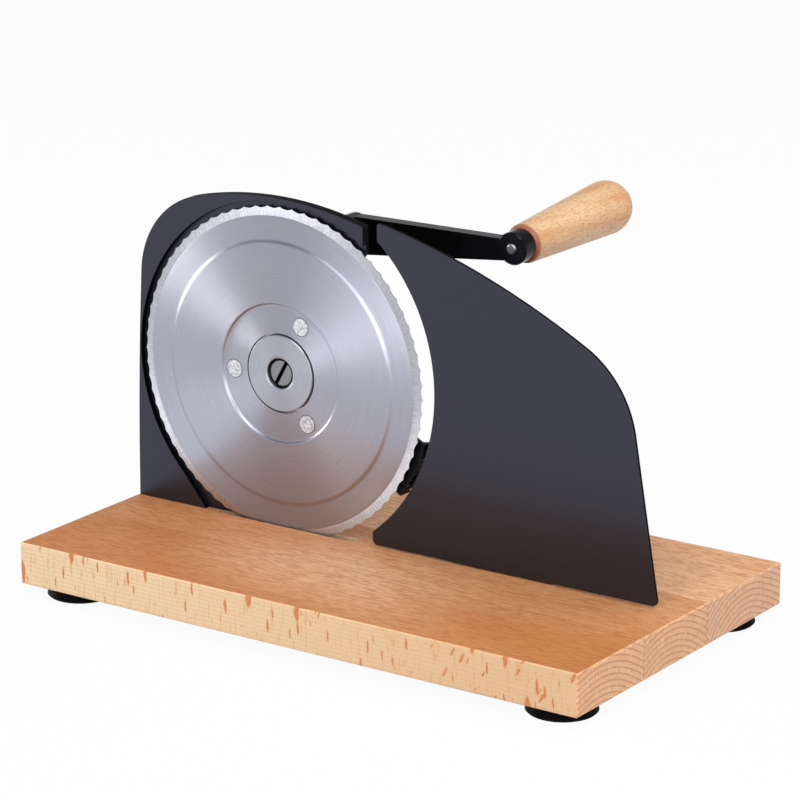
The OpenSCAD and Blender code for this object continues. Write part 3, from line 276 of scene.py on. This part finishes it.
def board_wood():
    made, tree, shader = material("beech_board")
    at = place(tree)
    split = add(tree, "SeparateXYZ", at)
    x, y, z = split.outputs
    facing = add(tree, "SeparateXYZ", add(tree, "TexCoord").outputs["Normal"])
    to_top = step(tree, math_node(tree, "ABSOLUTE", facing.outputs[2]), 0.75, 0.95)
    to_end = step(tree, math_node(tree, "ABSOLUTE", facing.outputs[0]), 0.45, 0.75)

    # Four staves side by side, each with its own heart
    front = board_low.y
    joins = [front + d for d in (0.065, 0.130, 0.190)]
    heart_y = [front + d for d in (0.022, 0.092, 0.172, 0.175)]
    heart_z = [-0.046, -0.030, -0.024, -0.034]
    ring_shift = [0.0, 0.0013, 0.0022, 0.0008]
    ring_width, row_height = 0.0033, 0.0024
    stave = [math_node(tree, "GREATER_THAN", y, j) for j in joins]

    def by_stave(values):
        value = values[0]
        for before, later, over in zip(values, values[1:], stave):
            value = math_node(tree, "MULTIPLY_ADD", over, later - before, value)
        return value

    wander = noise(tree, scaled(tree, at, 6, 14, 14), 1, 2, 0.5)
    sway = math_node(tree, "MULTIPLY", math_node(tree, "SUBTRACT", wander, 0.5), 0.012)
    off_y = math_node(tree, "ADD", math_node(tree, "SUBTRACT", y, by_stave(heart_y)), sway)
    off_z = math_node(tree, "SUBTRACT", z, by_stave(heart_z))
    square_y, square_z = (math_node(tree, "POWER", off, 2.0) for off in (off_y, off_z))
    ring = math_node(tree, "SQRT", math_node(tree, "ADD", square_y, square_z))
    shifted = math_node(tree, "ADD", ring, by_stave(ring_shift))
    year = math_node(tree, "FRACT", math_node(tree, "MULTIPLY", shifted, 1 / ring_width))
    late = step(tree, year, 0.55, 0.97)
    around = math_node(tree, "ARCTAN2", off_z, off_y)

    # Top: orange, with short fine pores along the board and a paler patch beside the blade that is painted sheen
    pores = noise(tree, scaled(tree, at, 130, 780, 300), 1, 3, 0.65)
    pore = step(tree, pores, 0.46, 0.60)
    streak = noise(tree, scaled(tree, at, 24, 300, 40), 1, 4, 0.7)
    patch = noise(tree, scaled(tree, at, 4, 16, 4), 1, 2, 0.5)
    # Painted sheen: light painted into the wood's colour, paler round a spot beside the blade
    sheen_spot = (-0.005, front + 0.055, board_high.z)
    from_sheen_spot = scaled(tree, vector_node(tree, "SUBTRACT", at, sheen_spot), 1.0, 2.2, 0.0)
    pale = step(tree, vector_node(tree, "LENGTH", from_sheen_spot), 0.02, 0.13, 0.75, 0.0)
    tops = [srgb(187, 123, 72), srgb(196, 136, 88), srgb(224, 176, 134), srgb(220, 170, 126)]
    top = tops[0]
    for later, over in zip(tops[1:], stave):
        top = mix(tree, over, top, later)
    top = mix(tree, step(tree, patch, 0.42, 0.66, 0.0, 0.22), top, srgb(224, 178, 134))
    top = mix(tree, pale, top, srgb(222, 178, 137))
    top = mix(tree, step(tree, streak, 0.42, 0.68, 0.0, 0.34), top, srgb(182, 110, 60))
    top = mix(tree, math_node(tree, "MULTIPLY", late, 0.08), top, srgb(178, 112, 68))
    top = mix(tree, math_node(tree, "MULTIPLY", pore, 0.46), top, srgb(156, 88, 44))

    # Front and back: cream with a faint grid and upright ray flecks, painted darker towards the right end as shade
    ripple = math_node(tree, "MULTIPLY", noise(tree, scaled(tree, at, 22, 1, 40), 1, 2), 1.1)
    rows = math_node(tree, "FRACT", math_node(tree, "MULTIPLY_ADD", z, 1 / row_height, ripple))
    row = step(tree, math_node(tree, "ABSOLUTE", math_node(tree, "SUBTRACT", rows, 0.5)), 0.0, 0.16, 1.0, 0.0)
    columns = step(tree, noise(tree, scaled(tree, at, 620, 1, 60), 1, 2, 0.6), 0.54, 0.70)
    specks = step(tree, noise(tree, scaled(tree, at, 420, 1, 700), 1, 1, 0.5), 0.62, 0.78)
    # Painted shade: the cream darkens towards the right end, as if the light came from the left
    side = mix(tree, step(tree, x, -0.17, 0.17), srgb(219, 192, 155), srgb(208, 172, 134))
    side = mix(tree, math_node(tree, "MULTIPLY", row, 0.36), side, srgb(198, 144, 92))
    side = mix(tree, math_node(tree, "MULTIPLY", columns, 0.46), side, srgb(198, 142, 88))
    side = mix(tree, math_node(tree, "MULTIPLY", specks, 0.42), side, srgb(188, 124, 70))
    ragged = math_node(tree, "MULTIPLY", noise(tree, scaled(tree, at, 260, 1, 300), 1, 2, 0.6), 0.0016)
    for wide, tall, tilt, start, keep, least, most in (
        (0.0110, 0.052, 0.04, -1.0, 0.36, 0.06, 0.22),
        (0.0050, 0.026, 0.04, -1.0, 0.46, 0.05, 0.17),
        (0.0060, 0.016, -0.45, 0.05, 0.30, 0.06, 0.22),
    ):
        lean = math_node(tree, "ADD", math_node(tree, "MULTIPLY_ADD", z, tilt, x), ragged)
        across, upwards = math_node(tree, "DIVIDE", lean, wide), math_node(tree, "DIVIDE", z, tall)
        flat = add(tree, "CombineXYZ", across, upwards, 0.0).outputs[0]
        cell = add(tree, "TexVoronoi", flat, voronoi_dimensions="2D", feature="F1")
        cell.inputs["Scale"].default_value = 1.0
        pick = add(tree, "SeparateXYZ", cell.outputs["Color"]).outputs[0]
        size = add(tree, "MapRange", pick, keep, 1.0, least, most).outputs["Result"]
        size = math_node(tree, "MULTIPLY", size, math_node(tree, "GREATER_THAN", pick, keep))
        fleck = step(tree, math_node(tree, "SUBTRACT", size, cell.outputs["Distance"]), 0.0, 0.05)
        fleck = math_node(tree, "MULTIPLY", fleck, step(tree, x, start, start + 0.08, 0.0, 0.88))
        side = mix(tree, fleck, side, srgb(188, 108, 54))

    # Ends: pinkish end grain with rings and pale rays
    turns, outwards = math_node(tree, "MULTIPLY", around, 110.0), math_node(tree, "MULTIPLY", ring, 120.0)
    rays = noise(tree, add(tree, "CombineXYZ", turns, outwards, 0.0).outputs[0], 1, 2, 0.6)
    ends = [srgb(212, 166, 124), srgb(210, 164, 123), srgb(206, 164, 132), srgb(206, 164, 134)]
    end = ends[0]
    for later, over in zip(ends[1:], stave):
        end = mix(tree, over, end, later)
    outwards, turns = math_node(tree, "MULTIPLY", ring, 1300.0), math_node(tree, "MULTIPLY", around, 22.0)
    fibres = noise(tree, add(tree, "CombineXYZ", outwards, turns, x).outputs[0], 1, 3, 0.7)
    end = mix(tree, math_node(tree, "MULTIPLY", late, 0.72), end, srgb(164, 98, 66))
    end = mix(tree, step(tree, fibres, 0.45, 0.65, 0.0, 0.34), end, srgb(176, 112, 76))
    end = mix(tree, step(tree, rays, 0.52, 0.70, 0.0, 0.5), end, srgb(240, 212, 180))
    end = mix(tree, step(tree, noise(tree, at, 900, 2, 0.6), 0.55, 0.75, 0.0, 0.3), end, srgb(186, 128, 98))

    # Glue lines between the staves
    seam = None
    for j in joins:
        off = math_node(tree, "ABSOLUTE", math_node(tree, "SUBTRACT", y, j))
        near = step(tree, off, 0.0001, 0.0004, 1.0, 0.0)
        seam = near if seam is None else math_node(tree, "MAXIMUM", seam, near)
    tone = mix(tree, to_top, side, top)
    tone = mix(tree, to_end, tone, end)
    tone = mix(tree, math_node(tree, "MULTIPLY", seam, 0.45), tone, srgb(140, 88, 58))
    feed(tree, shader.inputs["Base Color"], tone)
    feed(tree, shader.inputs["Roughness"], step(tree, pores, 0.3, 0.7, 0.40, 0.56))
    shader.inputs["Specular IOR Level"].default_value = 0.28
    bump(tree, shader, pores, 0.00006, 0.5)
    return made


def handle_wood():
    made, tree, shader = material("beech_handle")
    at = vector_node(tree, "SUBTRACT", place(tree), tuple(handle_axis))
    along = vector_node(tree, "DOT_PRODUCT", at, tuple(handle_way))
    skew = add(tree, "Mapping", at)
    skew.inputs["Rotation"].default_value = (0.10, 0.35, 0.16)
    grain = skew.outputs[0]
    pores = noise(tree, scaled(tree, grain, 1400, 340, 1400), 1, 2, 0.6)
    streak = noise(tree, scaled(tree, grain, 150, 12, 90), 1, 4, 0.65)
    tone = mix(tree, step(tree, streak, 0.3, 0.7), srgb(211, 179, 140), srgb(194, 147, 101))
    tone = mix(tree, step(tree, pores, 0.50, 0.66, 0.0, 0.60), tone, srgb(172, 98, 50))
    cut_end = step(tree, along, handle_near + 0.0017, handle_near + 0.0028, 0.9, 0.0)
    tone = mix(tree, cut_end, tone, srgb(146, 80, 52))
    feed(tree, shader.inputs["Base Color"], tone)
    feed(tree, shader.inputs["Roughness"], step(tree, pores, 0.3, 0.7, 0.38, 0.54))
    shader.inputs["Coat Weight"].default_value = 0.12
    shader.inputs["Coat Roughness"].default_value = 0.28
    bump(tree, shader, pores, 0.00006, 0.5)
    return made


looks = {
    "satin_black": paint("powder_coat", (0.0034, 0.0032, 0.0046), 0.31, depth=0.00001, specular=0.74),
    "gloss_black": paint("gloss_enamel", (0.0022, 0.0018, 0.0018), 0.17, 0.004, 0.00001, 0.15),
    "black_plastic": paint("moulded_plastic", (0.003, 0.003, 0.003), 0.42, 0.0006, specular=0.3),
    "rubber": paint("rubber", (0.002, 0.002, 0.002), 0.55, 0.0005, 0.00005, 0.04),
    "steel": metal("plain_steel", (0.62, 0.63, 0.66), 0.30),
    "brass": metal("brass", (0.78, 0.58, 0.26), 0.30),
    "stainless": turned_steel("brushed_blade", (0.400, 0.410, 0.482), 0.37, 0.83, 0.08, rivet_spots),
}
edge_look = paint("sawn_edge", (0.002, 0.002, 0.0025), 0.55, specular=0.05)
band_look = ground_steel("ground_band")
disc_look = turned_steel("brushed_disc", (0.405, 0.42, 0.475), 0.36, 0.5, painted_shade_radius=recess_radius)
rivet_look = hammered_steel("hammered_rivet")
dark_screw = slotted_steel("slotted_screw")
spindle_look = metal("spindle_steel", (0.30, 0.31, 0.33), 0.34)
board_look = board_wood()
handle_look = handle_wood()
special = {
    "board": board_look,
    "handle": handle_look,
    "retaining_disc": disc_look,
    "blade_rivets": rivet_look,
    "axle_screw": dark_screw,
    "handle_spindle": spindle_look,
}


def look_of(node):
    return special.get(node, looks.get(slot_of_node[node]))


# Pieces

def finish_mesh(mesh, look, angle=32):
    mesh.materials.clear()
    mesh.materials.append(look)
    for p in mesh.polygons:
        p.material_index = 0
        p.use_smooth = True
    mesh.set_sharp_from_angle(angle=math.radians(angle))


def piece(name, mesh, body, slot, *stands_for):
    made = bpy.data.objects.new(name, mesh)
    scene.collection.objects.link(made)
    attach(made, body)
    if stands_for:
        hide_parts(*stands_for)
    return made


def softened(node, width, segments=2, angle=30, flat=0.5):
    """A copy of a CAD node whose sharp edges are rounded."""
    mesh = nodes[node].data.copy()
    mesh.name = node + "_soft"
    work = bmesh.new()
    work.from_mesh(mesh)
    bmesh.ops.remove_doubles(work, verts=work.verts, dist=2e-6)
    bmesh.ops.dissolve_limit(work, angle_limit=math.radians(flat), verts=work.verts, edges=work.edges)
    sharp = [e for e in work.edges if len(e.link_faces) == 2 and e.calc_face_angle(0) > math.radians(angle)]
    bmesh.ops.bevel(work, geom=sharp, offset=width, offset_type="OFFSET", segments=segments, profile=0.6,
                    affect="EDGES", clamp_overlap=True, miter_outer="ARC")
    work.to_mesh(mesh)
    work.free()
    if mesh.has_custom_normals:
        mesh.attributes.remove(mesh.attributes["custom_normal"])
    finish_mesh(mesh, look_of(node))
    made = piece(node + "_soft", mesh, body_of_node[node], slot_of_node[node], node)
    weigh = made.modifiers.new("normals", "WEIGHTED_NORMAL")
    weigh.keep_sharp = True
    weigh.weight = 90
    return made


for node, width in (
    ("board", 0.0009), ("frame_plate", 0.0007), ("fence_plate", 0.0006),
    ("gear_case", 0.0008), ("slide_block", 0.0008), ("slide_cover", 0.0006), ("fence_carriage", 0.0006),
    ("slice_rest", 0.0004),
):
    softened(node, width)
softened("crank_arm", 0.0012, angle=50)


def dull_edges(name):
    """The sawn edges of a plate are duller than its faces."""
    mesh = bpy.data.objects[name].data
    mesh.materials.append(edge_look)
    for face in mesh.polygons:
        if abs(face.normal.y) < 0.3:
            face.material_index = 1


dull_edges("frame_plate_soft")
dull_edges("fence_plate_soft")


def smooth_step(start, end, share):
    return start + (end - start) * share * share * (3 - 2 * share)


def blade_profile():
    """Front of the blade as radius and depth, from the hole outwards, with soft pressed steps."""
    points = [(blade_hole, middle_back)]
    for middle, run, start, end in (
        (raised_inner - step_run / 2, 0.0013, middle_back, -raised_front),
        (raised_outer - step_run / 2, 0.0024, -raised_front, 0.0),
    ):
        points.append((middle - run, start))
        for i in range(9):
            points.append((middle + run * (i / 8 - 0.5), smooth_step(start, end, i / 8)))
        points.append((middle + run, end))
    points += [(band_start - 0.0006, 0.0), (band_start + 0.0002, 0.00004)]
    return points


def blade_mesh():
    """Pressed and ground blade: its front, its scalloped edge and its back."""
    around = scallops * 8
    work = bmesh.new()

    def ring(radius, depth, dent=0.0, drop=0.0):
        made = []
        for i in range(around):
            a = math.tau * i / around
            inward = abs(math.sin(a * scallops / 2)) * dent
            r = radius - inward
            y = depth - drop * inward
            made.append(work.verts.new(blade_axis + Vector((r * math.cos(a), y, r * math.sin(a)))))
        return made

    profile = blade_profile()
    slope = band_drop / (blade_radius - band_start)
    rings = [ring(r, d) for r, d in profile]
    rings.append(ring(blade_radius - 2 * scallop_depth, band_drop - 2 * scallop_depth * slope))
    rings.append(ring(blade_radius, band_drop, scallop_depth, slope))
    rings.append(ring(blade_radius - 0.0001, sheet, scallop_depth))
    back = [(r, d + sheet) for r, d in reversed(profile[:-3])]
    rings += [ring(r, d) for r, d in back]
    rings.append(rings[0])
    for inner, outer in zip(rings, rings[1:]):
        for i in range(around):
            j = (i + 1) % around
            work.faces.new((inner[i], inner[j], outer[j], outer[i]))
    bmesh.ops.recalc_face_normals(work, faces=work.faces)
    mesh = bpy.data.meshes.new("blade_pressed")
    work.to_mesh(mesh)
    work.free()
    finish_mesh(mesh, look_of("blade"), 40)
    mesh.materials.append(band_look)
    band_rings = range(len(profile) - 1, len(profile) + 2)
    for face in mesh.polygons:
        if face.index // around in band_rings:
            face.material_index = 1
    return mesh


piece("blade_pressed", blade_mesh(), body_of_node["blade"], slot_of_node["blade"], "blade")

for node, made in nodes.items():
    made.data.materials.clear()
    made.data.materials.append(look_of(node))


# Camera, light and floor

def looking(made, at, target):
    made.location = at
    made.rotation_mode = "QUATERNION"
    made.rotation_quaternion = (Vector(target) - Vector(at)).to_track_quat("-Z", "Y")


camera = bpy.data.objects.new("camera", bpy.data.cameras.new("camera"))
scene.collection.objects.link(camera)
camera.data.sensor_width = 36.0
camera.data.lens = 171.24
camera.data.clip_start = 0.05
camera.data.clip_end = 50
looking(camera, (1.12769, -1.66704, 0.71031), (0.07391, -0.13777, 0.15762))
scene.camera = camera


def soft_light(name, at, target, size, power, color=(1, 1, 1)):
    lamp = bpy.data.lights.new(name, "AREA")
    lamp.shape = "RECTANGLE"
    lamp.size, lamp.size_y = size
    lamp.energy = power
    lamp.color = color
    made = bpy.data.objects.new(name, lamp)
    scene.collection.objects.link(made)
    looking(made, at, target)
    return made


middle = (0.0, -0.03, 0.12)
soft_light("key", (0.30, -1.45, 1.90), middle, (1.6, 1.2), 21)
soft_light("front", (0.30, -2.20, 0.48), middle, (1.0, 1.2), 20)
soft_light("left", (-1.92, -0.34, 0.20), middle, (0.9, 0.6), 20.5, (1.0, 0.97, 0.93))
soft_light("right", (2.10, -0.50, 1.00), middle, (1.2, 1.2), 24, (1.0, 0.97, 0.93))
soft_light("top", (0.60, 0.40, 2.00), middle, (1.8, 1.4), 23)


def sees_white(tree):
    """1 for the camera and for what polished surfaces mirror, 0 for light."""
    rays = add(tree, "LightPath")
    seen = math_node(tree, "MAXIMUM", rays.outputs["Is Camera Ray"], rays.outputs["Is Glossy Ray"])
    return math_node(tree, "MAXIMUM", seen, rays.outputs["Is Transmission Ray"])


world = bpy.data.worlds.new("studio")
scene.world = world
world.use_nodes = True
tree = world.node_tree
tree.nodes.clear()
out = tree.nodes.new("ShaderNodeOutputWorld")
up = add(tree, "SeparateXYZ", add(tree, "TexCoord").outputs["Generated"]).outputs[2]
sky = mix(tree, step(tree, up, -0.1, 0.7), (0.34, 0.34, 0.37, 1), (0.40, 0.41, 0.45, 1))
around_us = add(tree, "Background", sky, 0.75)
above = mix(tree, step(tree, up, 0.05, 0.30), (1, 1, 1, 1), (0.40, 0.40, 0.42, 1))
white = add(tree, "Background", above, 1.0)
both = add(tree, "MixShader", sees_white(tree), around_us.outputs[0], white.outputs[0])
tree.links.new(both.outputs[0], out.inputs[0])

floor_mesh = bpy.data.meshes.new("floor")
work = bmesh.new()
bmesh.ops.create_grid(work, x_segments=8, y_segments=8, size=6.0)
work.to_mesh(floor_mesh)
work.free()
floor = bpy.data.objects.new("floor", floor_mesh)
scene.collection.objects.link(floor)
floor.location.z = -0.0002
pale, tree, shader = material("pale_floor")
floor_tone = mix(tree, noise(tree, place(tree), 3, 2), (0.58, 0.58, 0.59, 1), (0.62, 0.62, 0.63, 1))
feed(tree, shader.inputs["Base Color"], floor_tone)
shader.inputs["Roughness"].default_value = 0.9
glow = add(tree, "Emission", (1, 1, 1, 1), 1.0)
seen = math_node(tree, "MULTIPLY", sees_white(tree), 0.95)
lit = add(tree, "MixShader", seen, shader.outputs[0], glow.outputs[0])
tree.links.new(lit.outputs[0], tree.nodes["Material Output"].inputs[0])
floor_mesh.materials.append(pale)

scene.view_settings.view_transform = "Standard"
